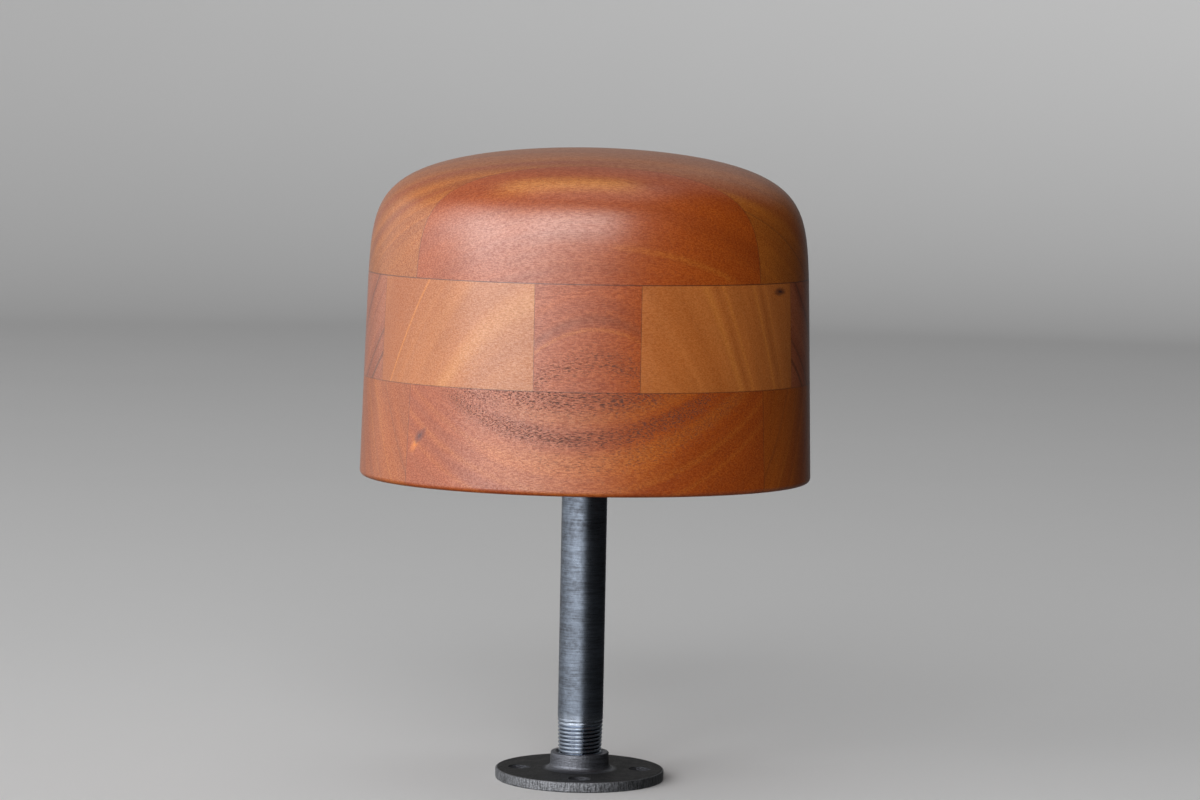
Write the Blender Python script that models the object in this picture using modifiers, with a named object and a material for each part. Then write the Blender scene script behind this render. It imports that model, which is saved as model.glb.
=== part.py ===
"""Hat block: an oval crown form of glued boards that turns and lifts off a pipe stand.

Metres, +Z up. The origin is the centre of the flange's underside, on the surface that
the stand rests on. +X runs along the block's length and -Y is its front.
"""

import math
from typing import NamedTuple

import bmesh
import bpy
from mathutils import Matrix, Vector

MM = 0.001

# Sizes of the floor flange
FLANGE_RADIUS = 39.7 * MM
FLANGE_THICKNESS = 4.8 * MM
FLANGE_EDGE_ROUND = 0.6 * MM
HUB_HEIGHT = 8.0 * MM
HUB_TOP_RADIUS = 13.7 * MM
HUB_FOOT_RADIUS = 14.6 * MM
HUB_FILLET = 2.0 * MM
HUB_EDGE_ROUND = 0.7 * MM
HUB_MOUTH_CHAMFER = 1.1 * MM
SCREW_HOLE_COUNT = 4
SCREW_HOLE_CIRCLE_RADIUS = 28.4 * MM
SCREW_HOLE_RADIUS = 3.2 * MM
COUNTERSINK_RADIUS = 5.3 * MM

# Sizes of the half inch pipe nipple, with tapered threads on both ends
PIPE_RADIUS = 10.668 * MM
PIPE_WALL = 2.77 * MM
PIPE_LENGTH = 203.2 * MM
PIPE_END_CHAMFER = 0.7 * MM
PIPE_FOOT_HEIGHT = 3.5 * MM
THREAD_LENGTH = 26.5 * MM
THREAD_PITCH = 1.814 * MM
THREAD_DEPTH = 0.95 * MM
THREAD_TAPER = 1.0 / 32.0
THREAD_RUN_OUT_TURNS = 3.0
THREAD_FLAT = 0.25 * MM
THREAD_ROOT_FLAT = 0.15 * MM
THREAD_EMBED = 0.25 * MM

# Sizes of the block: plan oval, crown curve and layers
BLOCK_LENGTH = 211.2 * MM
BLOCK_WIDTH = 171.1 * MM
BLOCK_HEIGHT = 154.4 * MM
WALL_TAPER = 0.0294
CROWN_SIDE_POWER = 12.6
CROWN_TOP_POWER = 1.91
FOOT_ROUND = 2.4 * MM
BASE_LAYER_HEIGHT = 47.0 * MM
BAND_LAYER_HEIGHT = 48.3 * MM

# Glued joints between the boards
SIDE_JOINT_OFFSET = 54.0 * MM
BAND_JOINT_OFFSET = 36.5 * MM
BAND_BUTT_OFFSET = 24.0 * MM
GLUE_GAP = 0.3 * MM

# Socket for the pipe and the disc that bears on the pipe's end
SOCKET_RADIUS = 11.1 * MM
SOCKET_DEPTH = 67.8 * MM
SOCKET_MOUTH_CHAMFER = 1.0 * MM
DISC_THICKNESS = 3.0 * MM
DISC_SIDE_CLEARANCE = 0.5 * MM
DISC_EDGE_ROUND = 0.4 * MM

# Clearance between pieces that touch
SEAT_GAP = 0.3 * MM

# Places worked out from the sizes
FLANGE_HEIGHT = FLANGE_THICKNESS + HUB_HEIGHT
THREAD_ENGAGED = FLANGE_HEIGHT - PIPE_FOOT_HEIGHT
MOUTH_THREAD_RADIUS = PIPE_RADIUS - THREAD_TAPER * (THREAD_LENGTH - THREAD_ENGAGED)
FLANGE_BORE_RADIUS = MOUTH_THREAD_RADIUS + SEAT_GAP
PIPE_TOP = PIPE_FOOT_HEIGHT + PIPE_LENGTH
DISC_FOOT = PIPE_TOP + SEAT_GAP
SOCKET_END = DISC_FOOT + DISC_THICKNESS + SEAT_GAP
BLOCK_FOOT = SOCKET_END - SOCKET_DEPTH
BAND_FOOT = BLOCK_FOOT + BASE_LAYER_HEIGHT
CROWN_FOOT = BAND_FOOT + BAND_LAYER_HEIGHT
BLOCK_TOP = BLOCK_FOOT + BLOCK_HEIGHT

# Fineness of the round shapes
BLOCK_STEPS = 96
FLANGE_STEPS = 60
PIPE_STEPS = 20
DISC_STEPS = 32
HOLE_STEPS = 20
ARC_STEPS = 4
CROWN_TURN = math.radians(7.0)
CROWN_SAMPLES = 4000
THREAD_STEPS = 20
MERGE = 0.00001
CUT_MARGIN = 5.0 * MM
SHARP_ANGLE = math.radians(32.0)


class Finish(NamedTuple):
    """How a surface looks: linear colour, roughness and metallic share."""

    colour: tuple
    roughness: float
    metallic: float


RED_BROWN = Finish((0.36, 0.115, 0.045), 0.42, 0.0)
PALE_TAN = Finish((0.52, 0.235, 0.095), 0.42, 0.0)
DEEP_BROWN = Finish((0.25, 0.085, 0.045), 0.42, 0.0)
ORANGE_BROWN = Finish((0.43, 0.15, 0.055), 0.42, 0.0)
DARK_IRON = Finish((0.045, 0.047, 0.052), 0.55, 0.8)
DARK_STEEL = Finish((0.16, 0.17, 0.19), 0.34, 0.95)
BRIGHT_STEEL = Finish((0.42, 0.43, 0.45), 0.35, 1.0)


class Board(NamedTuple):
    """One board of the block: its name, finish and its reach along X, Y and Z."""

    name: str
    finish: Finish
    x: tuple
    y: tuple
    z: tuple


def clear_scene():
    """Remove every object so that the part starts from nothing."""
    for obj in list(bpy.data.objects):
        bpy.data.objects.remove(obj, do_unlink=True)


def new_collection(name):
    """Add a collection under the scene."""
    collection = bpy.data.collections.new(name)
    bpy.context.scene.collection.children.link(collection)
    return collection


def new_material(name, finish):
    """A material of one part's own."""
    material = bpy.data.materials.new(name)
    material.use_nodes = True
    shader = material.node_tree.nodes["Principled BSDF"]
    shader.inputs["Base Color"].default_value = (*finish.colour, 1.0)
    shader.inputs["Roughness"].default_value = finish.roughness
    shader.inputs["Metallic"].default_value = finish.metallic
    return material


def new_object(name, mesh, collection, parent=None, location=(0.0, 0.0, 0.0)):
    """Link an object at a world location, under its parent if it has one."""
    obj = bpy.data.objects.new(name, mesh)
    collection.objects.link(obj)
    place = Vector(location)
    if parent is not None:
        obj.parent = parent
        place = place - world_location(parent)
    obj.location = place
    return obj


def world_location(obj):
    """World location of an object whose parents are only moved, never turned."""
    place = Vector(obj.location)
    while obj.parent is not None:
        obj = obj.parent
        place = place + Vector(obj.location)
    return place


def new_pivot(name, collection, location, parent=None):
    """An empty on a joint's axis."""
    pivot = new_object(name, None, collection, parent, location)
    pivot.empty_display_type = "ARROWS"
    pivot.empty_display_size = HUB_HEIGHT
    return pivot


def dress(obj, finish):
    """Give a part its own material and smooth shading between its sharp edges."""
    obj.data.materials.clear()
    obj.data.materials.append(new_material(obj.name + "_finish", finish))
    obj.data.shade_smooth()
    obj.data.set_sharp_from_angle(angle=SHARP_ANGLE)


def hide_cutter(obj):
    """Mark an object as a cutter or guide."""
    obj.hide_render = True
    obj.display_type = "WIRE"


def cut(obj, cutter, operation="DIFFERENCE"):
    """Add an exact Boolean with a cutter."""
    boolean = obj.modifiers.new(operation.title() + "_" + cutter.name, "BOOLEAN")
    boolean.operation = operation
    boolean.solver = "EXACT"
    boolean.object = cutter
    return boolean


def arc(centre_x, centre_z, radius, start, end, steps=ARC_STEPS):
    """Points on an arc in the XZ plane, angles in degrees from +X towards +Z."""
    points = []
    for step in range(steps + 1):
        angle = math.radians(start + (end - start) * step / steps)
        points.append((centre_x + radius * math.cos(angle), centre_z + radius * math.sin(angle)))
    return points


def turned(name, profile, collection, steps, closed):
    """Turn a profile about Z with a Screw modifier.

    The profile runs down its outer side. A closed one comes back up the bore, and an
    open one starts and ends on the axis.
    """
    mesh = bpy.data.meshes.new(name)
    count = len(profile)
    edges = [(index, index + 1) for index in range(count - 1)]
    if closed:
        edges.append((count - 1, 0))
    mesh.from_pydata([(x, 0.0, z) for x, z in profile], edges, [])
    obj = new_object(name, mesh, collection)
    screw = obj.modifiers.new("Screw", "SCREW")
    screw.axis = "Z"
    screw.angle = math.tau
    screw.steps = steps
    screw.render_steps = steps
    screw.use_merge_vertices = True
    screw.merge_threshold = MERGE
    screw.use_smooth_shade = True
    return obj


def made_mesh(obj):
    """Turn an object's modifiers into its mesh."""
    bpy.context.view_layer.update()
    graph = bpy.context.evaluated_depsgraph_get()
    mesh = bpy.data.meshes.new_from_object(obj.evaluated_get(graph), depsgraph=graph)
    obj.modifiers.clear()
    obj.data = mesh
    return obj


def crown_half_length(height):
    """Half the block's length at a height above its underside."""
    share = min(height / BLOCK_HEIGHT, 1.0)
    fullness = (1.0 - share ** CROWN_SIDE_POWER) ** (1.0 / CROWN_TOP_POWER)
    return (BLOCK_LENGTH / 2.0 - WALL_TAPER * height) * fullness


def crown_profile():
    """The block's outline from the middle of its top down to the middle of its underside.

    The crown is a full curve that is nearly straight on the wall, turns fast at the
    shoulder and is shallow on top. A point is kept where the curve has turned enough.
    """
    samples = []
    for step in range(CROWN_SAMPLES + 1):
        angle = 0.5 * math.pi * step / CROWN_SAMPLES
        height = FOOT_ROUND + (BLOCK_HEIGHT - FOOT_ROUND) * math.cos(angle) ** 2
        samples.append((crown_half_length(height), height))
    points = [(0.0, BLOCK_HEIGHT)]
    last_turn = 0.0
    for before, after in zip(samples, samples[1:]):
        turn = math.atan2(before[1] - after[1], after[0] - before[0])
        if turn - last_turn > CROWN_TURN:
            points.append(before)
            last_turn = turn
    foot_side = crown_half_length(FOOT_ROUND)
    points.extend(arc(foot_side - FOOT_ROUND, FOOT_ROUND, FOOT_ROUND, 0.0, -90.0))
    points.append((0.0, 0.0))
    return [(x, BLOCK_FOOT + z) for x, z in points]


def make_block_form(cutters):
    """The whole block's outer form, which trims every board."""
    form = made_mesh(turned("block_form", crown_profile(), cutters, BLOCK_STEPS, closed=False))
    form.data.transform(Matrix.Diagonal((1.0, BLOCK_WIDTH / BLOCK_LENGTH, 1.0, 1.0)))
    hide_cutter(form)
    return form


def make_socket_cutter(cutters):
    """The blind hole that drops over the pipe, with an eased mouth."""
    mouth = SOCKET_RADIUS + SOCKET_MOUTH_CHAMFER
    profile = [
        (0.0, SOCKET_END),
        (SOCKET_RADIUS, SOCKET_END),
        (SOCKET_RADIUS, BLOCK_FOOT + SOCKET_MOUTH_CHAMFER),
        (mouth, BLOCK_FOOT),
        (mouth, BLOCK_FOOT - CUT_MARGIN),
        (0.0, BLOCK_FOOT - CUT_MARGIN),
    ]
    socket = made_mesh(turned("socket", profile, cutters, DISC_STEPS, closed=False))
    hide_cutter(socket)
    return socket


def board_list():
    """Every board of the three layers, each reaching past the form where it has no joint."""
    gap = GLUE_GAP / 2.0
    reach_x = BLOCK_LENGTH / 2.0 + CUT_MARGIN
    reach_y = BLOCK_WIDTH / 2.0 + CUT_MARGIN
    full_x = (-reach_x, reach_x)
    layers = {
        "base": (BLOCK_FOOT - CUT_MARGIN, BAND_FOOT - gap),
        "band": (BAND_FOOT + gap, CROWN_FOOT - gap),
        "crown": (CROWN_FOOT + gap, BLOCK_TOP + CUT_MARGIN),
    }
    boards = []
    for layer in ("base", "crown"):
        z = layers[layer]
        front = (-reach_y, -SIDE_JOINT_OFFSET - gap)
        core = (-SIDE_JOINT_OFFSET + gap, SIDE_JOINT_OFFSET - gap)
        back = (SIDE_JOINT_OFFSET + gap, reach_y)
        boards.append(Board(layer + "_front", RED_BROWN, full_x, front, z))
        boards.append(Board(layer + "_core", ORANGE_BROWN, full_x, core, z))
        boards.append(Board(layer + "_back", RED_BROWN, full_x, back, z))
    band_z = layers["band"]
    core = (-BAND_JOINT_OFFSET + gap, BAND_JOINT_OFFSET - gap)
    boards.append(Board("band_core", DEEP_BROWN, full_x, core, band_z))
    rows = {
        "front": (-reach_y, -BAND_JOINT_OFFSET - gap),
        "back": (BAND_JOINT_OFFSET + gap, reach_y),
    }
    pieces = {
        "left": ((-reach_x, -BAND_BUTT_OFFSET - gap), PALE_TAN),
        "middle": ((-BAND_BUTT_OFFSET + gap, BAND_BUTT_OFFSET - gap), RED_BROWN),
        "right": ((BAND_BUTT_OFFSET + gap, reach_x), PALE_TAN),
    }
    for row, y in rows.items():
        for piece, (x, finish) in pieces.items():
            boards.append(Board("band_" + row + "_" + piece, finish, x, y, band_z))
    return boards


def make_board(board, form, socket, collection, pivot):
    """Saw one board as a box, shape it with the form and bore it if the socket meets it."""
    centre = Vector([(low + high) / 2.0 for low, high in (board.x, board.y, board.z)])
    size = [high - low for low, high in (board.x, board.y, board.z)]
    shape = bmesh.new()
    bmesh.ops.create_cube(shape, size=1.0, matrix=Matrix.Diagonal((*size, 1.0)))
    mesh = bpy.data.meshes.new(board.name)
    shape.to_mesh(mesh)
    shape.free()
    obj = new_object(board.name, mesh, collection, pivot, centre)
    cut(obj, form, "INTERSECT")
    in_middle = board.y[0] < 0.0 < board.y[1]
    if in_middle and board.z[0] < SOCKET_END:
        cut(obj, socket)
    dress(obj, board.finish)
    return obj


def make_flange(collection, cutters):
    """Cast floor flange: a round plate with a hub, a bore and countersunk screw holes."""
    fillet_x = HUB_FOOT_RADIUS + HUB_FILLET
    fillet_z = FLANGE_THICKNESS + HUB_FILLET
    rim = FLANGE_RADIUS - FLANGE_EDGE_ROUND
    hub_corner = HUB_TOP_RADIUS - HUB_EDGE_ROUND
    profile = [(FLANGE_BORE_RADIUS + HUB_MOUTH_CHAMFER, FLANGE_HEIGHT)]
    profile += arc(hub_corner, FLANGE_HEIGHT - HUB_EDGE_ROUND, HUB_EDGE_ROUND, 90.0, 0.0)
    profile += arc(fillet_x, fillet_z, HUB_FILLET, 180.0, 270.0)
    profile += arc(rim, FLANGE_THICKNESS - FLANGE_EDGE_ROUND, FLANGE_EDGE_ROUND, 90.0, 0.0, 2)
    profile += arc(rim, FLANGE_EDGE_ROUND, FLANGE_EDGE_ROUND, 0.0, -90.0, 2)
    profile.append((FLANGE_BORE_RADIUS, 0.0))
    profile.append((FLANGE_BORE_RADIUS, FLANGE_HEIGHT - HUB_MOUTH_CHAMFER))
    flange = turned("floor_flange", profile, collection, FLANGE_STEPS, closed=True)
    for index in range(SCREW_HOLE_COUNT):
        cut(flange, make_screw_hole(index, cutters))
    dress(flange, DARK_IRON)
    return flange


def make_screw_hole(index, cutters):
    """One countersunk hole through the flange plate, right through and open above."""
    sink_depth = COUNTERSINK_RADIUS - SCREW_HOLE_RADIUS
    profile = [
        (0.0, FLANGE_THICKNESS + HUB_FILLET),
        (COUNTERSINK_RADIUS + HUB_FILLET, FLANGE_THICKNESS + HUB_FILLET),
        (COUNTERSINK_RADIUS, FLANGE_THICKNESS),
        (SCREW_HOLE_RADIUS, FLANGE_THICKNESS - sink_depth),
        (SCREW_HOLE_RADIUS, -CUT_MARGIN),
        (0.0, -CUT_MARGIN),
    ]
    hole = turned("screw_hole_%d" % (index + 1), profile, cutters, HOLE_STEPS, closed=False)
    angle = math.tau * index / SCREW_HOLE_COUNT
    hole.location.x = SCREW_HOLE_CIRCLE_RADIUS * math.cos(angle)
    hole.location.y = SCREW_HOLE_CIRCLE_RADIUS * math.sin(angle)
    hide_cutter(hole)
    return hole


def thread_crest_radius(from_end):
    """Radius over the thread's crests at a distance from the pipe's end."""
    return PIPE_RADIUS - THREAD_TAPER * (THREAD_LENGTH - from_end)


def thread_depth(from_end):
    """Depth of the thread, fading in at the end's chamfer and out over the last turns."""
    run_out = THREAD_RUN_OUT_TURNS * THREAD_PITCH
    fade_in = min(1.0, from_end / THREAD_PITCH)
    fade_out = min(1.0, max(0.0, (THREAD_LENGTH - from_end) / run_out))
    return THREAD_DEPTH * fade_in * fade_out


def root_radius(from_end):
    """Radius at the bottom of the thread's groove."""
    run_out = THREAD_RUN_OUT_TURNS * THREAD_PITCH
    fade_out = min(1.0, max(0.0, (THREAD_LENGTH - from_end) / run_out))
    return thread_crest_radius(from_end) - THREAD_DEPTH * fade_out


def make_thread(name, cutters):
    """The tooth of a thread, wound from the pipe's end up to where it runs out.

    Its section is a flat-topped tooth on a foot that sinks into the pipe. The height
    follows the taper and fades at both ends. The result is measured from the end up.
    """
    shape = bmesh.new()
    start = PIPE_END_CHAMFER
    turns = (THREAD_LENGTH - start) / THREAD_PITCH
    count = int(turns * THREAD_STEPS)
    half_foot = (THREAD_PITCH - THREAD_ROOT_FLAT) / 2.0
    sections = []
    for step in range(count + 1):
        angle = math.tau * step / THREAD_STEPS
        middle = start + THREAD_PITCH * step / THREAD_STEPS
        root = root_radius(middle)
        crest = root + thread_depth(middle)
        foot = root - THREAD_EMBED
        outline = [
            (foot, -half_foot),
            (root - THREAD_EMBED / 2.0, -half_foot),
            (crest, -THREAD_FLAT / 2.0),
            (crest, THREAD_FLAT / 2.0),
            (root - THREAD_EMBED / 2.0, half_foot),
            (foot, half_foot),
        ]
        ring = []
        for radius, offset in outline:
            place = (radius * math.cos(angle), radius * math.sin(angle), middle + offset)
            ring.append(shape.verts.new(place))
        sections.append(ring)
    for ring, following in zip(sections, sections[1:]):
        for index in range(len(ring)):
            after = (index + 1) % len(ring)
            shape.faces.new((ring[index], following[index], following[after], ring[after]))
    shape.faces.new(sections[0])
    shape.faces.new(list(reversed(sections[-1])))
    bmesh.ops.recalc_face_normals(shape, faces=shape.faces)
    mesh = bpy.data.meshes.new(name)
    shape.to_mesh(mesh)
    shape.free()
    obj = new_object(name, mesh, cutters)
    hide_cutter(obj)
    return obj


def pipe_end(chamfer_inset):
    """Outer points of one threaded end, from the end up to the plain pipe."""
    run_out = THREAD_RUN_OUT_TURNS * THREAD_PITCH
    return [
        (root_radius(0.0) - chamfer_inset, 0.0),
        (root_radius(chamfer_inset), chamfer_inset),
        (root_radius(THREAD_LENGTH - run_out), THREAD_LENGTH - run_out),
        (PIPE_RADIUS, THREAD_LENGTH),
    ]


def make_pipe(collection, cutters):
    """Pipe nipple: a turned tube whose two ends carry a tapered thread."""
    bore = PIPE_RADIUS - PIPE_WALL
    chamfer = PIPE_END_CHAMFER / 2.0
    top = [(x, PIPE_LENGTH - z) for x, z in pipe_end(chamfer)]
    foot = list(reversed(pipe_end(chamfer)))
    profile = top + foot + [(bore, 0.0), (bore, PIPE_LENGTH)]
    pipe = turned("pipe_nipple", profile, collection, PIPE_STEPS, closed=True)
    pipe.location.z = PIPE_FOOT_HEIGHT
    foot_thread = make_thread("foot_thread", cutters)
    foot_thread.location.z = PIPE_FOOT_HEIGHT
    top_thread = make_thread("top_thread", cutters)
    top_thread.location.z = PIPE_TOP
    top_thread.rotation_euler.x = math.pi
    cut(pipe, foot_thread, "UNION")
    cut(pipe, top_thread, "UNION")
    dress(pipe, DARK_STEEL)
    return pipe


def make_disc(collection, pivot):
    """Steel disc in the end of the socket, which bears on the pipe's end."""
    radius = SOCKET_RADIUS - DISC_SIDE_CLEARANCE
    bpy.ops.mesh.primitive_cylinder_add(
        vertices=DISC_STEPS,
        radius=radius,
        depth=DISC_THICKNESS,
    )
    disc = bpy.context.active_object
    disc.name = "thrust_disc"
    disc.data.name = "thrust_disc"
    for old in list(disc.users_collection):
        old.objects.unlink(disc)
    collection.objects.link(disc)
    disc.parent = pivot
    disc.location = Vector((0.0, 0.0, DISC_FOOT + DISC_THICKNESS / 2.0)) - world_location(pivot)
    bevel = disc.modifiers.new("Edge", "BEVEL")
    bevel.width = DISC_EDGE_ROUND
    bevel.segments = 2
    bevel.limit_method = "ANGLE"
    dress(disc, BRIGHT_STEEL)
    return disc


def main():
    """Build the stand, then the disc and the block on their pivots."""
    clear_scene()
    parts = new_collection("hat_block")
    cutters = new_collection("cutters")
    make_flange(parts, cutters)
    make_pipe(parts, cutters)
    turn_pivot = new_pivot("turn_pivot", parts, (0.0, 0.0, DISC_FOOT))
    lift_pivot = new_pivot("lift_pivot", parts, (0.0, 0.0, BLOCK_FOOT), turn_pivot)
    make_disc(parts, turn_pivot)
    form = make_block_form(cutters)
    socket = make_socket_cutter(cutters)
    for board in board_list():
        make_board(board, form, socket, parts, lift_pivot)
    bpy.context.view_layer.update()


main()
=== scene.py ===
"""Looks of the hat block: an oval wooden crown form of glued boards on a pipe stand.

The CAD model is the fixed frame. Each board, the pipe, the flange and the bearing disc are
made again here at a fine resolution, in the same places, and dressed in their finishes.
"""

import logging
import math
from collections.abc import Callable, Sequence
from dataclasses import dataclass, field, replace
from enum import Enum

import bmesh
import bpy
from mathutils import Matrix, Vector


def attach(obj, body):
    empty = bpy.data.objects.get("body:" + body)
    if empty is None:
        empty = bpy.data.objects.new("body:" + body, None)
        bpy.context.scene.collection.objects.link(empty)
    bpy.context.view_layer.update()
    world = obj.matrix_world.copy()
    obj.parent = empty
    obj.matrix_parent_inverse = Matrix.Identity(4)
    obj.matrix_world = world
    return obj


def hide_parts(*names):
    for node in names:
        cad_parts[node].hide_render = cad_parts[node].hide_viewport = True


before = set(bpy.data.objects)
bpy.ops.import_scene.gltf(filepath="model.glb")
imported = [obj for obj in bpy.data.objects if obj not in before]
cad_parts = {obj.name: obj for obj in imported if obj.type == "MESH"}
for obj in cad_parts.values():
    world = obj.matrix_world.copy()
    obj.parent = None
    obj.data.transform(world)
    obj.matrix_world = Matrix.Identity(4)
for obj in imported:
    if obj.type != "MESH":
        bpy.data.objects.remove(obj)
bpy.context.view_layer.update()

logging.basicConfig(level=logging.INFO, format="%(message)s")
log = logging.getLogger("hat_block")

MM = 0.001
PER_MM = 1000.0
MERGE = 0.000002
FINE_MERGE = MERGE / 10.0
MIDDLE = 0.5
SHARP = math.radians(32.0)
QUARTER_TURN = math.pi / 2.0

Colour = tuple[float, float, float]
Triple = tuple[float, float, float]
Point = tuple[float, float]
Reach = tuple[float | None, float | None]
Rise = tuple[float, float, float, float]


class Axis(Enum):
    """An axis of the frame, by its place in a vector."""

    X = 0
    Y = 1
    Z = 2


class Body(Enum):
    """The bodies of the model that pieces ride on."""

    STAND = "stand"
    DISC = "disc"
    BLOCK = "block"


class Layer(Enum):
    """The three layers of the block, from the foot up."""

    BASE = "base"
    BAND = "band"
    CROWN = "crown"


class Quarter(Enum):
    """The quarter circles of a profile, by their first and last angle from outwards."""

    TOP_EDGE = (90.0, 0.0)
    LOW_EDGE = (0.0, -90.0)
    FILLET = (180.0, 270.0)
    SWEEP = (-90.0, 0.0)


def operator(operation: str, swapped: bool = False) -> Callable[["Term", "Value"], "Term"]:
    """Make an operator of terms.

    Args:
        operation: the node's operation.
        swapped: whether the term is the second of the two values.

    Returns:
        The operator.
    """
    def lay(term: "Term", other: "Value") -> "Term":
        """Lay the operator's node."""
        return term.bench.math(operation, *((other, term) if swapped else (term, other)))
    return lay


class Term:
    """A socket that can stand in a sum, so that a tree reads like the rule it works out."""

    __add__, __radd__ = operator("ADD"), operator("ADD", swapped=True)
    __sub__, __rsub__ = operator("SUBTRACT"), operator("SUBTRACT", swapped=True)
    __mul__, __rmul__ = operator("MULTIPLY"), operator("MULTIPLY", swapped=True)
    __truediv__, __rtruediv__ = operator("DIVIDE"), operator("DIVIDE", swapped=True)
    __pow__ = operator("POWER")

    def __init__(self, bench: "NodeBench", socket: bpy.types.NodeSocket) -> None:
        """Keep the socket and the bench that its tree is laid on."""
        self.bench = bench
        self.socket = socket

    def __abs__(self) -> "Term":
        """This without its sign."""
        return self.bench.math("ABSOLUTE", self)


Value = Term | float | int | tuple


class NodeBench:
    """Lays and joins the nodes of one tree."""

    def __init__(self, tree: bpy.types.NodeTree) -> None:
        """Start on an empty tree."""
        self.tree = tree
        tree.nodes.clear()

    def feed(self, socket: bpy.types.NodeSocket, value: Value) -> None:
        """Join a term to a socket, or set the socket's own value.

        Args:
            socket: the input socket.
            value: a term, a number, or a tuple; a colour gets its alpha here.
        """
        if isinstance(value, Term):
            self.tree.links.new(value.socket, socket)
        elif socket.type == "RGBA" and len(value) == 3:
            socket.default_value = (*value, 1.0)
        else:
            socket.default_value = value

    def node(self, kind: str, inputs: dict[str | int, Value] | None = None,
             **settings: object) -> bpy.types.Node:
        """Lay a node.

        Args:
            kind: the node's type.
            inputs: values or terms by socket name or number.
            settings: the node's own settings.

        Returns:
            The node.
        """
        made = self.tree.nodes.new(kind)
        for name, value in settings.items():
            setattr(made, name, value)
        for key, value in (inputs or {}).items():
            self.feed(made.inputs[key], value)
        return made

    def term(self, kind: str, inputs: dict[str | int, Value] | None = None,
             out: str | int = 0, **settings: object) -> Term:
        """Lay a node and return one of its outputs as a term."""
        return Term(self, self.node(kind, inputs, **settings).outputs[out])

    def math(self, operation: str, *values: Value) -> Term:
        """A sum of one, two or three values."""
        return self.term("ShaderNodeMath", dict(enumerate(values)), operation=operation)

    def axes(self, vector: Term) -> list[Term]:
        """The three parts of a vector."""
        split = self.node("ShaderNodeSeparateXYZ", {0: vector})
        return [Term(self, output) for output in split.outputs]

    def vector(self, x: Value, y: Value, z: Value) -> Term:
        """A vector from its three parts."""
        return self.term("ShaderNodeCombineXYZ", {0: x, 1: y, 2: z})

    def distance(self, first: Term, *others: Term) -> Term:
        """How far a place is from the origin, by its parts.

        Args:
            first: the place's first part.
            others: its other parts.

        Returns:
            The distance.
        """
        total = first * first
        for part in others:
            total = total + part * part
        return total ** 0.5

    def swing(self, noise: Term, reach: float) -> Term:
        """Noise made to swing about nought, over a reach in all."""
        return (noise - MIDDLE) * reach

    def mixed(self, first: Term, second: Value, share: float) -> Term:
        """A share of one value and the rest of another."""
        return first * share + second * (1.0 - share)

    def held(self, value: Term, start: float) -> Term:
        """A start with a value added, held between 0 and 1."""
        return self.term("ShaderNodeMath", {0: value, 1: start}, operation="ADD", use_clamp=True)

    def rise(self, value: Term, low: Value, high: Value) -> Term:
        """A smooth step from 0 at low to 1 at high."""
        inputs = {"Value": value, "From Min": low, "From Max": high}
        return self.term("ShaderNodeMapRange", inputs, interpolation_type="SMOOTHSTEP")

    def hump(self, value: Term, middle: float, reach: float) -> Term:
        """1 at the middle, falling smoothly to 0 at a reach on both sides."""
        return self.rise(abs(value - middle), reach, 0.0)

    def blend(self, share: Value, start: Value, end: Value) -> Term:
        """A colour between two colours."""
        inputs = {0: share, 6: start, 7: end}
        return self.term("ShaderNodeMix", inputs, out=2, data_type="RGBA")

    def scaled(self, colour: Value, factor: Value) -> Term:
        """A colour made lighter or darker by a factor."""
        inputs = {0: colour, "Scale": factor}
        return self.term("ShaderNodeVectorMath", inputs, operation="SCALE")

    def tinted(self, colour: Term, tint: Colour) -> Term:
        """A colour times a tint."""
        return self.term("ShaderNodeVectorMath", {0: colour, 1: tint}, operation="MULTIPLY")


@dataclass(frozen=True)
class Noise:
    """Soft noise with its own length in each direction, in mm."""

    lengths: Triple
    detail: float = 2.0
    roughness: float = 0.5

    def over(self, bench: NodeBench, place: Sequence[Value],
             shift: Triple = (0.0, 0.0, 0.0)) -> Term:
        """Lay the noise.

        Args:
            bench: the bench of the tree.
            place: the place that it runs over.
            shift: how many lengths it is moved along each part of the place.

        Returns:
            The noise, from 0 to 1.
        """
        parts = [part / length for part, length in zip(place, self.lengths)]
        moved = [part + move if move else part for part, move in zip(parts, shift)]
        inputs = {"Vector": bench.vector(*moved), "Scale": 1.0, "Detail": self.detail,
                  "Roughness": self.roughness}
        return bench.term("ShaderNodeTexNoise", inputs)


class FinishBench(NodeBench):
    """The bench for a finish: it reads the place on the object and ends in a surface shader."""

    def __init__(self, name: str) -> None:
        """Start a material of that name."""
        self.material = bpy.data.materials.new(name)
        self.material.use_nodes = True
        super().__init__(self.material.node_tree)

    def place_in_mm(self) -> list[Term]:
        """The place on the object, in millimetres, as its three parts.

        Returns:
            The parts x, y and z.
        """
        place = self.term("ShaderNodeTexCoord", out="Object")
        scale = (PER_MM, PER_MM, PER_MM)
        return self.axes(self.term("ShaderNodeMapping", {"Vector": place, "Scale": scale}))

    def surface(self, values: dict[str, Value], height: Term, depth: float) -> bpy.types.Material:
        """End the tree in the surface shader.

        Args:
            values: what the shader's sockets are set or joined to.
            height: relief of the surface, from 0 to 1.
            depth: how deep the relief is, in metres.

        Returns:
            The material.
        """
        relief = self.term("ShaderNodeBump", {"Strength": 1.0, "Distance": depth, "Height": height})
        shader = self.term("ShaderNodeBsdfPrincipled", {**values, "Normal": relief})
        self.node("ShaderNodeOutputMaterial", {"Surface": shader})
        return self.material


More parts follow.
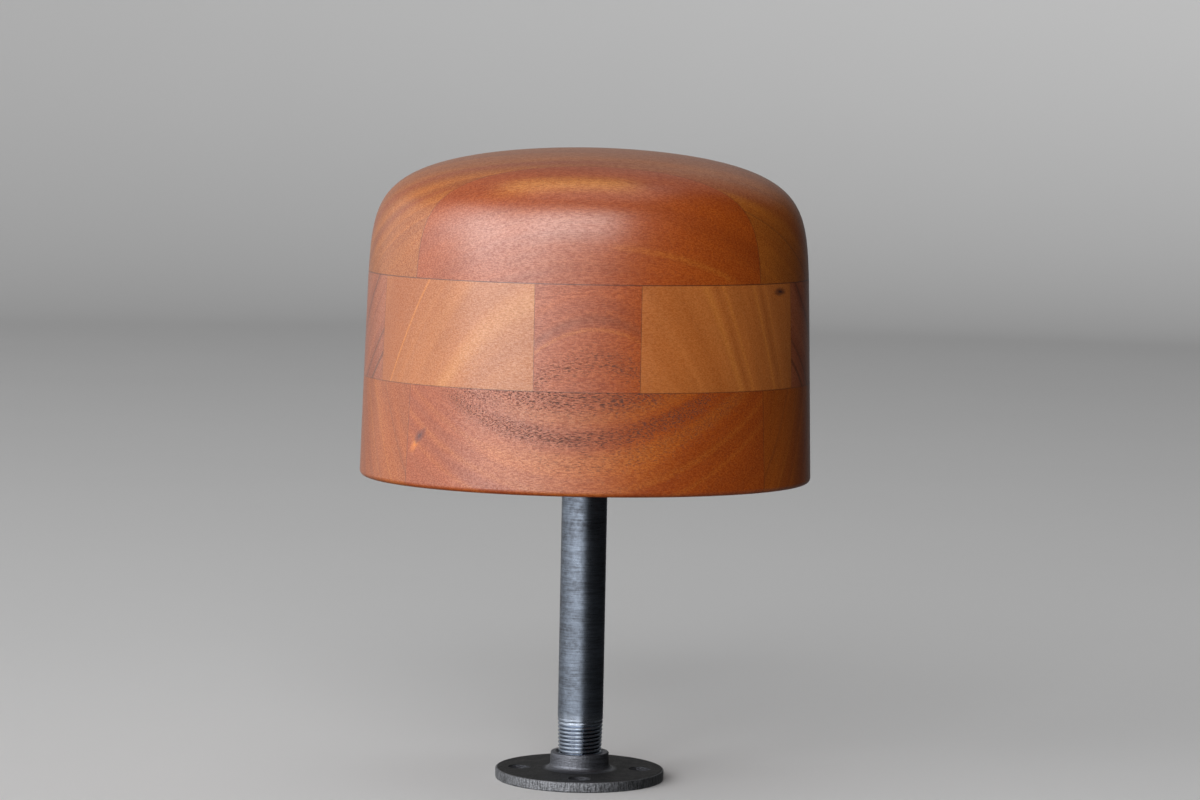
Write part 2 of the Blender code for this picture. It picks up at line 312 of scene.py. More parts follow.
class ShapeBench(NodeBench):
    """The bench for a shape that follows a rule, made by Geometry Nodes."""

    KINDS = {float: "NodeSocketFloat", int: "NodeSocketInt"}

    def __init__(self, name: str, sizes: dict[str, float | int]) -> None:
        """Start a tree whose named inputs are the sizes given.

        Args:
            name: the tree's name.
            sizes: values by the name of the input that takes them.
        """
        super().__init__(bpy.data.node_groups.new(name, "GeometryNodeTree"))
        self.sizes = sizes
        self.identifiers: dict[str, str] = {}
        for size, value in sizes.items():
            self.add_input(size, self.KINDS[type(value)])
        self.add_input("Finish", "NodeSocketMaterial")
        interface = self.tree.interface
        interface.new_socket("Geometry", in_out="OUTPUT", socket_type="NodeSocketGeometry")
        self.entry = self.node("NodeGroupInput")

    def add_input(self, name: str, kind: str) -> None:
        """Add a named input and keep its identifier."""
        made = self.tree.interface.new_socket(name, in_out="INPUT", socket_type=kind)
        self.identifiers[name] = made.identifier

    def size(self, name: str) -> Term:
        """A named input as a term."""
        return Term(self, self.entry.outputs[name])

    def grid(self, across: Value, down: Value) -> tuple[Term, Term, Term]:
        """A flat sheet of points to be set in place.

        Args:
            across: number of points along the first share.
            down: number of points along the second share.

        Returns:
            The sheet and its two shares, each from 0 to 1 over the sheet.
        """
        sheet = self.term("GeometryNodeMeshGrid", {2: across, 3: down, 0: 1.0, 1: 1.0})
        x, y, _ = self.axes(self.term("GeometryNodeInputPosition"))
        return sheet, x + MIDDLE, y + MIDDLE

    def end(self, shape: Term) -> None:
        """Close the seams, realize what is instanced and set the finish.

        Args:
            shape: the geometry that the tree makes.
        """
        merged = self.term("GeometryNodeMergeByDistance", {"Geometry": shape, "Distance": MERGE})
        real = self.term("GeometryNodeRealizeInstances", {0: merged})
        inputs = {"Geometry": real, "Material": self.size("Finish")}
        self.node("NodeGroupOutput", {0: self.term("GeometryNodeSetMaterial", inputs)})

    def end_placed(self, sheet: Term, place: Term) -> None:
        """End with the sheet's points set in their places."""
        inputs = {"Geometry": sheet, "Position": place}
        self.end(self.term("GeometryNodeSetPosition", inputs))

    def make(self, name: str, finish: bpy.types.Material | None = None) -> bpy.types.Object:
        """Evaluate the tree into a plain mesh.

        Args:
            name: the new object's name.
            finish: the material that the tree sets.

        Returns:
            The object, without its modifier.
        """
        obj = new_object(name, bpy.data.meshes.new(name))
        modifier = obj.modifiers.new("Shape", "NODES")
        modifier.node_group = self.tree
        for size, value in self.sizes.items():
            modifier[self.identifiers[size]] = value
        modifier[self.identifiers["Finish"]] = finish
        return made_plain(obj)


def new_object(name: str, mesh: bpy.types.Mesh) -> bpy.types.Object:
    """Link a new object at the origin.

    Args:
        name: the object's name.
        mesh: its mesh.

    Returns:
        The object.
    """
    obj = bpy.data.objects.new(name, mesh)
    bpy.context.scene.collection.objects.link(obj)
    return obj


def made_plain(obj: bpy.types.Object) -> bpy.types.Object:
    """Turn an object's modifiers into its mesh.

    Args:
        obj: the object.

    Returns:
        The same object, without modifiers.
    """
    bpy.context.view_layer.update()
    graph = bpy.context.evaluated_depsgraph_get()
    mesh = bpy.data.meshes.new_from_object(obj.evaluated_get(graph), depsgraph=graph)
    obj.modifiers.clear()
    obj.data = mesh
    return obj


def drop(*objects: bpy.types.Object) -> None:
    """Remove objects that were only tools."""
    for obj in objects:
        bpy.data.objects.remove(obj, do_unlink=True)


def bored(obj: bpy.types.Object, cutter: bpy.types.Object) -> bpy.types.Object:
    """Cut one object out of another and keep the cutter.

    Args:
        obj: what is cut.
        cutter: what it is cut with.

    Returns:
        The cut object.
    """
    boolean = obj.modifiers.new("Bore", "BOOLEAN")
    boolean.operation = "DIFFERENCE"
    boolean.solver = "EXACT"
    boolean.object = cutter
    return made_plain(obj)


def arc(centre: Point, radius: float, quarter: Quarter, steps: int) -> list[Point]:
    """Points on a quarter circle.

    Args:
        centre: the arc's centre, as a distance from the axis and a height.
        radius: the arc's radius.
        quarter: which quarter of the circle.
        steps: number of equal steps.

    Returns:
        The points from first to last.
    """
    start, end = quarter.value
    points = []
    for step in range(steps + 1):
        angle = math.radians(start + (end - start) * step / steps)
        points.append((centre[0] + radius * math.cos(angle),
                       centre[1] + radius * math.sin(angle)))
    return points


def turned(name: str, profile: Sequence[Point], steps: int, closed: bool = True
           ) -> bpy.types.Object:
    """Turn a profile about the Z axis.

    Args:
        name: the new object's name.
        profile: points as distance from the axis and height.
        steps: number of steps round.
        closed: whether the last point joins the first, as round a bore.

    Returns:
        The turned object, with its faces outwards.
    """
    shape = bmesh.new()
    rings = []
    for step in range(steps):
        angle = math.tau * step / steps
        cosine, sine = math.cos(angle), math.sin(angle)
        rings.append([shape.verts.new((r * cosine, r * sine, z)) for r, z in profile])
    spans = len(profile) if closed else len(profile) - 1
    for index, ring in enumerate(rings):
        following = rings[(index + 1) % steps]
        for low in range(spans):
            high = (low + 1) % len(profile)
            shape.faces.new((ring[low], following[low], following[high], ring[high]))
    bmesh.ops.remove_doubles(shape, verts=shape.verts, dist=MERGE)
    bmesh.ops.recalc_face_normals(shape, faces=shape.faces)
    return object_from(shape, name)


def object_from(shape: bmesh.types.BMesh, name: str) -> bpy.types.Object:
    """Make an object from a shape and free the shape.

    Args:
        shape: the shape.
        name: the new object's name.

    Returns:
        The object.
    """
    mesh = bpy.data.meshes.new(name)
    shape.to_mesh(mesh)
    shape.free()
    return new_object(name, mesh)


def shade(obj: bpy.types.Object) -> None:
    """Shade smooth between the sharp edges."""
    obj.data.shade_smooth()
    obj.data.set_sharp_from_angle(angle=SHARP)


def dress(obj: bpy.types.Object, material: bpy.types.Material) -> None:
    """Give a piece its one material."""
    obj.data.materials.clear()
    obj.data.materials.append(material)


def hand_over(obj: bpy.types.Object, body: Body, node: str, slot: str) -> None:
    """Let a finished piece stand for a CAD node.

    Args:
        obj: the piece, finished and in place.
        body: what it moves with.
        node: the CAD node that it stands for.
        slot: the record's material slot of its finish; not used.
    """
    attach(obj, body.value)
    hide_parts(node)
    obj.data.calc_loop_triangles()
    log.info("%s for %s: %d triangles", obj.name, node, len(obj.data.loop_triangles))


@dataclass(frozen=True)
class WoodPlace:
    """The bench of a board's finish, and where a point lies in the wood, in mm.

    The grain runs along x. The layer is the place across the growth layers, and beside is the
    place along a layer, across the grain.
    """

    bench: FinishBench
    xyz: Sequence[Term]
    layer: Term
    beside: Term


@dataclass(frozen=True)
class Band:
    """A band or, where it is thin, a line along the growth layers. Lengths are in mm.

    It lies at a place across the layers, and fades out beyond its two ends along the grain.
    """

    at: float
    reach: float
    strength: float
    ends: Point = (-130.0, 130.0)
    fade: float = 25.0

    def share(self, wood: WoodPlace) -> Term:
        """How much of the band shows at a place.

        Args:
            wood: the place in the wood.

        Returns:
            The share, up to the band's strength.
        """
        x, (start, end) = wood.xyz[Axis.X.value], self.ends
        rise = wood.bench.rise
        along = rise(x, start - self.fade, start) * rise(x, end + self.fade, end)
        return wood.bench.hump(wood.layer, self.at, self.reach) * along * self.strength


@dataclass(frozen=True)
class Knot:
    """A pin knot: a dark eye with a bright surround, where it comes out of the wood, in mm.

    The two pairs of ends say how far from its middle each colour starts and is full, as shares
    of the knot's size.
    """

    place: Triple
    size: Triple
    eye: Colour
    surround: Colour
    strength: float
    lean: float = 0.0
    eye_ends: Point = (0.42, 0.12)
    surround_ends: Point = (1.0, 0.45)
    raggedness: float = 0.6
    ragged_edge: Noise = Noise((0.625, 0.625, 0.625))

    def over(self, wood: WoodPlace, colour: Term) -> Term:
        """Lay the knot over a colour.

        Args:
            wood: the place in the wood.
            colour: the colour so far.

        Returns:
            The colour.
        """
        bench, (x, y, z) = wood.bench, wood.xyz
        leaning = (x - (z - self.place[Axis.Z.value]) * self.lean, y, z)
        parts = [(part - at) / reach for part, at, reach in zip(leaning, self.place, self.size)]
        ragged = bench.swing(self.ragged_edge.over(bench, parts), self.raggedness)
        distance = bench.distance(*parts) + ragged
        around = bench.rise(distance, *self.surround_ends) * self.strength
        eye = bench.rise(distance, *self.eye_ends) * self.strength
        return bench.blend(eye, bench.blend(around, colour, self.surround), self.eye)


@dataclass(frozen=True)
class GlueLine:
    """A glued joint seen as a thin dark line: the plane it lies in and its half width, in mm."""

    axis: Axis
    at: float
    reach: float
    strength: float
    colour: Colour = (0.07, 0.02, 0.012)

    def over(self, wood: WoodPlace, colour: Term) -> Term:
        """A colour with the line laid over it."""
        near = wood.bench.hump(wood.xyz[self.axis.value], self.at, self.reach)
        return wood.bench.blend(near * self.strength, colour, self.colour)


@dataclass(frozen=True)
class Tone:
    """How one kind of board is coloured, and the record's material slot for it.

    The depth tints the wood between its fibres, and the lustre tints the fibres; that pale tint is
    partly the fibres' own colour and partly their glints, a painted sheen.
    """

    slot: str
    light: Colour
    dark: Colour
    depth: Colour = (0.79, 0.64, 0.34)
    lustre: Colour = (1.20, 1.32, 1.10)


@dataclass(frozen=True)
class OiledWood:
    """Oiled reddish hardwood, as one board was sawn from the log.

    The fields down to the knots are a board's own. The others are the same for all this wood.
    Lengths are in mm, and the depth of the relief in metres.
    """

    across: Triple
    tone: Tone
    seed: float
    layer: float = 7.0
    contrast: float = 1.0
    sway: float = 3.0
    pores: float = 0.3
    streaks: tuple[tuple[Colour, Band], ...] = ()
    pore_bands: tuple[Band, ...] = ()
    knots: tuple[Knot, ...] = ()
    bend: Noise = Noise((130.0, 60.0, 60.0), 1.0)
    broad_lengths: Point = (420.0, 95.0)
    broad_swing: float = 2.6
    fine: Noise = Noise((200.0, 1.3, 45.0))
    fine_swing: float = 1.1
    figure: Noise = Noise((24.0, 5.0, 30.0))
    figure_swing: float = 0.24
    fibre: Noise = Noise((2.8, 0.56, 0.56), 1.0, 0.8)
    fibre_share: float = 0.6
    fibre_ends: Point = (0.34, 0.66)
    speck: Noise = Noise((0.60, 0.50, 0.50), 1.0, 0.6)
    pore: Noise = Noise((2.0, 0.31, 0.31), 1.0)
    pore_colour: Colour = (0.110, 0.032, 0.018)
    pore_start: float = 0.66
    pore_edge: float = 0.08
    patch: Noise = Noise((30.0, 3.0, 1.0))
    patch_drop: float = 0.09
    crowd_drop: float = 0.12
    stain: float = 0.12
    roughness: float = 0.34
    pore_roughness: float = 0.30
    tone_roughness: float = 0.04
    specular: float = 0.6
    oil: float = 0.35
    fibre_oil: float = 0.55
    oil_roughness: float = 0.30
    oil_ior: float = 1.87
    fibre_relief: float = 0.45
    relief_depth: float = 0.08 * MM

    def material(self, name: str, joints: Sequence[GlueLine]) -> bpy.types.Material:
        """Build the finish.

        Args:
            name: the material's name.
            joints: the glued joints round this board.

        Returns:
            The material.
        """
        bench = FinishBench(name)
        xyz = x, y, z = bench.place_in_mm()
        a, b, c = Vector(self.across).normalized()
        bend = self.bend.over(bench, xyz, (self.seed, 0.0, 0.0))
        layer = x * a + y * b + z * c + bench.swing(bend, self.sway * 2.0)
        wood = WoodPlace(bench, xyz, layer, y * c - z * b)
        colour, tone = self.layered(wood)
        for tint, band in self.streaks:
            colour = bench.blend(band.share(wood), colour, tint)
        colour, fibre = self.fibred(wood, colour)
        colour, pore = self.pored(wood, colour)
        for mark in (*self.knots, *joints):
            colour = mark.over(wood, colour)
        relief = bench.mixed(fibre, 1.0 - pore, self.fibre_relief)
        values = {
            "Base Color": colour,
            "Roughness": self.roughness + pore * self.pore_roughness + tone * self.tone_roughness,
            "Specular IOR Level": self.specular, "Coat Roughness": self.oil_roughness,
            "Coat Weight": (self.oil + fibre * self.fibre_oil) * (1.0 - pore),
            "Coat IOR": self.oil_ior}
        return bench.surface(values, relief, self.relief_depth)

    def layered(self, wood: WoodPlace) -> tuple[Term, Term]:
        """Colour the growth layers, broad ones with fine lines between.

        Args:
            wood: the place in the wood.

        Returns:
            The colour, and the tone from dark to light.
        """
        bench = wood.bench
        place = (wood.xyz[Axis.X.value], wood.layer, wood.beside)
        run, side = self.broad_lengths
        broad = Noise((run, self.layer, side)).over(bench, place, (self.seed, 0.0, 0.0))
        fine = self.fine.over(bench, place, (self.seed, 0.0, 0.0))
        share = bench.held(bench.swing(broad, self.broad_swing * self.contrast)
                           + bench.swing(fine, self.fine_swing * self.contrast), MIDDLE)
        figure = self.figure.over(bench, place, (0.0, self.seed, 0.0))
        colour = bench.blend(share, self.tone.dark, self.tone.light)
        return bench.scaled(colour, 1.0 + bench.swing(figure, self.figure_swing)), share

    def fibred(self, wood: WoodPlace, colour: Term) -> tuple[Term, Term]:
        """Lay in the fine fibres along the grain: cut across, they show as dashes and specks.

        Args:
            wood: the place in the wood.
            colour: the colour so far.

        Returns:
            The colour and the fibres' own relief.
        """
        bench = wood.bench
        fibre, speck = [noise.over(bench, wood.xyz, (self.seed, 0.0, 0.0))
                        for noise in (self.fibre, self.speck)]
        fibre = bench.rise(bench.mixed(fibre, speck, self.fibre_share), *self.fibre_ends)
        # The lustre tint is partly the fibres' own paler colour and partly their glints, painted in
        # as colour.
        tints = [bench.tinted(colour, tint) for tint in (self.tone.depth, self.tone.lustre)]
        return bench.blend(fibre, *tints), fibre

    def pored(self, wood: WoodPlace, colour: Term) -> tuple[Term, Term]:
        """Lay in the open pores: thin tubes along the grain, darker and more in some layers.

        Args:
            wood: the place in the wood.
            colour: the colour so far.

        Returns:
            The colour and the share of open pore.
        """
        bench = wood.bench
        tubes = self.pore.over(bench, wood.xyz, (self.seed, 0.0, 0.0))
        crowd: Value = 0.0
        for band in self.pore_bands:
            crowd = band.share(wood) + crowd
        place = (wood.xyz[Axis.X.value], wood.layer, 0.0)
        patch = self.patch.over(bench, place, (0.0, 0.0, self.seed))
        start = self.pore_start - patch * self.patch_drop - crowd * self.crowd_drop
        open_pore = bench.rise(tubes, start, start + self.pore_edge)
        share = open_pore * bench.math("MINIMUM", crowd + self.pores, 1.0)
        stained = bench.scaled(colour, 1.0 - crowd * patch * self.stain)
        return bench.blend(share, stained, self.pore_colour), share


RED = Tone("wood_red_brown", (0.455, 0.088, 0.005), (0.325, 0.053, 0.003))
BRIGHT_RED = replace(RED, lustre=(1.28, 1.40, 1.20))
ORANGE = Tone("wood_orange_brown", (0.465, 0.130, 0.014), (0.335, 0.080, 0.009))
RUST = Tone("wood_orange_brown", (0.465, 0.108, 0.007), (0.335, 0.064, 0.004))
TAN = Tone("wood_pale_tan", (0.535, 0.172, 0.034), (0.437, 0.126, 0.023),
           depth=(0.89, 0.80, 0.62), lustre=(1.12, 1.15, 1.12))
AMBER = replace(TAN, light=(0.56, 0.172, 0.036), dark=(0.45, 0.124, 0.021))
PLUM = Tone("wood_deep_brown", (0.47, 0.133, 0.062), (0.32, 0.073, 0.033))
# Painted sheen: the golden glow of the crown's interlocked grain where it catches the light,
# painted in as colour.
SHEEN_GOLD = (0.70, 0.25, 0.02)
# Painted light: a pale golden band low on the base's front, standing in for light bounced up from
# below.
BOUNCE_LIGHT_GOLD = (0.62, 0.165, 0.018)
HONEY = (0.74, 0.25, 0.03)
# Painted sheen: the pale shining band that the grain shows where it catches the light.
SHEEN_SAND = (0.68, 0.27, 0.07)
STRAW = (0.70, 0.25, 0.05)
PALE_AMBER = (0.68, 0.23, 0.04)
WARM_AMBER = (0.66, 0.21, 0.035)
RUSSET = (0.40, 0.098, 0.010)
DEEP_RED = (0.24, 0.045, 0.009)
STREAK_DARK = (0.12, 0.026, 0.010)
STREAK_PALE = (0.60, 0.18, 0.025)


@dataclass(frozen=True)
class DarkSteel:
    """Bare dark steel drawn along an axis, with fine lines round it, brighter cut threads, and
    painted shade in the thread valleys.

    A cut thread starts at the first of its cut_ends and is full at the second. Lengths are in
    mm, and the depth of the relief in metres.
    """

    colour: Colour = (0.29, 0.34, 0.42)
    dull: Colour = (0.10, 0.110, 0.130)
    cut_ends: tuple[Point, ...] = ((33.0, 26.0), (177.2, 184.2))
    roughness: float = 0.32
    cut: Colour = (0.54, 0.61, 0.72)
    cut_wear: float = 0.3
    # Painted shade: the colour that the thread valleys are darkened to.
    valley_shade: Colour = (0.035, 0.037, 0.042)
    valley_depths: Point = (0.30, 0.85)
    valley_strength: float = 0.75
    skin_radius: float = 10.668
    middle: float = 105.1
    plain_half: float = 75.1
    taper: float = 1.0 / 32.0
    line: Noise = Noise((9.0, 9.0, 0.7), 2.0, 0.65)
    line_swing: float = 1.5
    band: Noise = Noise((30.0, 30.0, 7.0), 3.0, 0.6)
    band_swing: float = 1.1
    scale: Noise = Noise((2.2, 2.2, 2.6), 3.0, 0.65)
    scale_swing: float = 1.3
    scale_roughness: float = 0.30
    cut_roughness: float = 0.12
    line_relief: float = 0.5
    relief_depth: float = 0.06 * MM

    def material(self, name: str) -> bpy.types.Material:
        """Build the finish.

        Args:
            name: the material's name.

        Returns:
            The material.
        """
        bench = FinishBench(name)
        place = x, y, z = bench.place_in_mm()
        line, band, scale = [
            noise.over(bench, place) for noise in (self.line, self.band, self.scale)]
        wear = (bench.swing(line, self.line_swing) + bench.swing(band, self.band_swing)
                + bench.swing(scale, self.scale_swing))
        worn = bench.held(wear, MIDDLE)
        fresh: Value = 0.0
        for start, full in self.cut_ends:
            fresh = bench.rise(z, start, full) + fresh
        colour = bench.blend(worn, self.dull, self.colour)
        colour = bench.blend(fresh * bench.mixed(worn, 1.0, self.cut_wear), colour, self.cut)
        # Painted shade: the thread valleys, and the bore near the ends, are darkened by how deep
        # they sink below the crest.
        threaded = bench.math("MAXIMUM", abs(z - self.middle) - self.plain_half, 0.0)
        sunk = self.skin_radius - threaded * self.taper - bench.distance(x, y)
        valley_shade = bench.rise(sunk, *self.valley_depths) * fresh * self.valley_strength
        colour = bench.blend(valley_shade, colour, self.valley_shade)
        roughness = (self.roughness - bench.swing(scale, self.scale_roughness)
                     - fresh * self.cut_roughness)
        relief = bench.mixed(line, scale, self.line_relief) * (1.0 - fresh)
        values = {"Base Color": colour, "Metallic": 1.0, "Roughness": roughness}
        return bench.surface(values, relief, self.relief_depth)


@dataclass(frozen=True)
class CastIron:
    """Dark cast iron, grainy from the mould, bare where the rim, hub and sinks were machined.

    Each pair of ends says where that bare part starts and where it is full: the rim and the hub
    by the distance from the axis, the sinks by the height. Lengths are in mm, and the depth of
    the relief in metres.
    """

    colour: Colour = (0.022, 0.022, 0.023)
    bright: Colour = (0.33, 0.34, 0.365)
    turned: Colour = (0.19, 0.20, 0.23)
    rim_ends: Point = (38.6, 39.3)
    hub_ends: Point = (18.2, 15.2)
    sink_ends: Point = (4.75, 4.35)
    grain: Noise = Noise((0.8, 0.8, 0.8), 3.0, 0.65)
    lump: Noise = Noise((2.4, 2.4, 2.4), 2.0, 0.6)
    blotch: Noise = Noise((6.0, 6.0, 6.0), 3.0, 0.6)
    grind: Noise = Noise((0.5, 0.5, 4.0), 2.0, 0.6)
    ring: Noise = Noise((7.0, 7.0, 0.5), 2.0, 0.6)
    speck_ends: Point = (0.62, 0.80)
    speck_strength: float = 0.35
    ring_share: float = 0.7
    hub_tone_ends: Point = (0.34, 0.66)
    hub_texture: float = 0.6
    grind_share: float = 0.6
    rim_tone_ends: Point = (0.36, 0.62)
    rim_texture: float = 0.8
    rim_strength: float = 0.15
    sink_strength: float = 0.4
    cast_metal: float = 0.25
    bare_metal: float = 0.60
    specular: float = 0.3
    roughness: float = 0.58
    bare_smoothing: float = 0.20
    blotch_roughness: float = 0.4
    hub_smoothing: float = 0.6
    lump_relief: float = 1.6
    relief_depth: float = 0.5 * MM

    def material(self, name: str) -> bpy.types.Material:
        """Build the finish.

        Args:
            name: the material's name.

        Returns:
            The material.
        """
        bench = FinishBench(name)
        place = x, y, z = bench.place_in_mm()
        grain, lump, blotch, grind = [noise.over(bench, place) for noise in (
            self.grain, self.lump, self.blotch, self.grind)]
        from_axis = bench.distance(x, y)
        rings = self.ring.over(bench, (x, y, z - from_axis))
        rim = bench.rise(from_axis, *self.rim_ends)
        hub = bench.rise(from_axis, *self.hub_ends)
        sink = bench.rise(z, *self.sink_ends) * (1.0 - rim)
        colour = bench.scaled(self.colour, MIDDLE + blotch)
        speck = bench.rise(grain, *self.speck_ends) * self.speck_strength
        colour = bench.blend(speck, colour, self.bright)
        hub_tone = bench.rise(bench.mixed(rings, grain, self.ring_share), *self.hub_tone_ends)
        worn_hub = hub * bench.mixed(hub_tone, 1.0, self.hub_texture)
        colour = bench.blend(worn_hub, colour, self.turned)
        colour = bench.blend(sink * self.sink_strength, colour, self.turned)
        rim_tone = bench.rise(bench.mixed(grind, grain, self.grind_share), *self.rim_tone_ends)
        worn_rim = rim * (rim_tone * self.rim_texture + self.rim_strength)
        colour = bench.blend(worn_rim, colour, self.bright)
        bare = bench.math("MINIMUM", rim + hub + sink, 1.0)
        roughness = (self.roughness - bare * self.bare_smoothing
                     + bench.swing(blotch, self.blotch_roughness))
        values = {"Base Color": colour, "Metallic": bare * self.bare_metal + self.cast_metal,
                  "Specular IOR Level": self.specular, "Roughness": roughness}
        relief = grain * (1.0 - hub * self.hub_smoothing) + lump * (1.0 - bare) * self.lump_relief
        return bench.surface(values, relief, self.relief_depth)


@dataclass(frozen=True)
class Form:
    """The block's outer form: an oval wall that leans in a little and a full crown."""

    length: float = 211.2 * MM
    width: float = 171.1 * MM
    height: float = 154.4 * MM
    foot: float = 142.5 * MM
    taper: float = 0.0294
    side_power: float = 12.6
    top_power: float = 1.91
    foot_round: float = 2.4 * MM
    steps_round: int = 288
    steps_down: int = 132
    foot_share: float = 0.06
    normal_step: float = 0.02 * MM

    def half_length(self, height: float) -> float:
        """Half the length at a height above the block's underside.

        Args:
            height: the height.

        Returns:
            The half length there.
        """
        if height < self.foot_round:
            drop_in = self.foot_round - height
            foot_side = self.half_length(self.foot_round) - self.foot_round
            return foot_side + math.sqrt(max(0.0, self.foot_round ** 2 - drop_in ** 2))
        share = min(height / self.height, 1.0)
        fullness = (1.0 - share ** self.side_power) ** (1.0 / self.top_power)
        return (self.length / 2.0 - self.taper * height) * fullness

    def normal(self, point: Vector) -> Vector:
        """Outward direction of the form's surface at a point on it.

        Args:
            point: a point on the surface.

        Returns:
            The unit normal.
        """
        squash = (self.length / self.width) ** 2
        height = point.z - self.foot
        low = max(height - self.normal_step, 0.0)
        high = min(height + self.normal_step, self.height)
        fall = (self.half_length(low) ** 2 - self.half_length(high) ** 2) / (high - low)
        return Vector((2.0 * point.x, 2.0 * point.y * squash, fall)).normalized()

    def shape(self) -> bpy.types.Object:
        """Make the form's skin by its rule, open at the underside.

        Returns:
            The form, a tool that the boards are cut from.
        """
        bench = ShapeBench("block_form", {
            "Length": self.length, "Width": self.width, "Height": self.height,
            "Foot height": self.foot, "Taper": self.taper, "Side power": self.side_power,
            "Top power": self.top_power, "Foot round": self.foot_round,
            "Foot share": self.foot_share, "Points round": self.steps_round + 1,
            "Points down": self.steps_down + 1})
        size = bench.size
        sheet, round_share, down = bench.grid(size("Points round"), size("Points down"))
        wall_share = 1.0 - size("Foot share")
        angle = bench.math("MINIMUM", down / wall_share, 1.0) * QUARTER_TURN
        wall_height = size("Height") - size("Foot round")
        height = size("Foot round") + wall_height * bench.math("COSINE", angle) ** 2.0
        half = size("Length") / 2.0 - size("Taper") * height
        under = bench.math("MAXIMUM", 1.0 - (height / size("Height")) ** size("Side power"), 0.0)
        half = half * under ** (1.0 / size("Top power"))
        turn = bench.math("MAXIMUM", down - wall_share, 0.0) / size("Foot share") * QUARTER_TURN
        height = height - size("Foot round") * bench.math("SINE", turn)
        half = half - size("Foot round") * (1.0 - bench.math("COSINE", turn))
        around = round_share * math.tau
        place = bench.vector(
            half * bench.math("COSINE", around),
            half * bench.math("SINE", around) * size("Width") / size("Length"),
            height + size("Foot height"))
        bench.end_placed(sheet, place)
        return bench.make("block_form")


@dataclass(frozen=True)
class Board:
    """One board of the block: its place among the joints, in mm, and how it was sawn."""

    node: str
    layer: Layer
    wood: OiledWood
    x: Reach = (None, None)
    y: Reach = (None, None)
    socketed: bool = False


